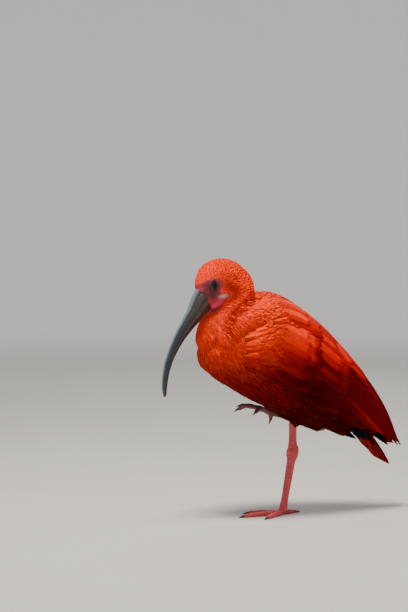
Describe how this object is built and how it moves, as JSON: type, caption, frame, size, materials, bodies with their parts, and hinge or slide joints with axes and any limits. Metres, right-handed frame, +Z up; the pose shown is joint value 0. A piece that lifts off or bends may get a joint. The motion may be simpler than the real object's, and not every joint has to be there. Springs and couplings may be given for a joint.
{
  "type": "scarlet ibis",
  "caption": "Standing scarlet wading bird on one leg, the other foot tucked under its belly, with folded wings and a long down-curved bill.",
  "frame": {"origin": "middle of the underside of the box around the whole bird, on the floor that its foot stands on", "axes": "+Z up; the bird faces -Y and its left side is +X"},
  "size_m": [0.1286, 0.3672, 0.3488],
  "materials": {
    "body_feathers": "soft orange-red plumage",
    "wing_feathers": "scarlet flight feathers and coverts, the outer primaries tipped with black",
    "tail_feathers": "scarlet tail feathers",
    "leg_skin": "pinkish-red scaled skin",
    "claw_horn": "black horn, satin",
    "bill_horn": "blue-black horn with brown streaks, satin",
    "eye_glossy": "dark, wet and glossy"
  },
  "bodies": {
    "root": {"bill_lower": "bill_horn", "bill_upper": "bill_horn", "claw_left_hind": "claw_horn", "claw_left_inner": "claw_horn", "claw_left_middle": "claw_horn", "claw_left_outer": "claw_horn", "claw_right_hind": "claw_horn", "claw_right_inner": "claw_horn", "claw_right_middle": "claw_horn", "claw_right_outer": "claw_horn", "eye_left": "eye_glossy", "eye_right": "eye_glossy", "head": "body_feathers", "neck": "body_feathers", "shank_left": "leg_skin", "shank_right": "leg_skin", "tail": "tail_feathers", "tarsus_left": "leg_skin", "tarsus_right": "leg_skin", "thigh_left": "body_feathers", "thigh_right": "body_feathers", "toe_left_hind": "leg_skin", "toe_left_inner": "leg_skin", "toe_left_middle": "leg_skin", "toe_left_outer": "leg_skin", "toe_right_hind": "leg_skin", "toe_right_inner": "leg_skin", "toe_right_middle": "leg_skin", "toe_right_outer": "leg_skin", "torso": "body_feathers", "wing_left": "wing_feathers", "wing_right": "wing_feathers"}
  },
  "joints": []
}
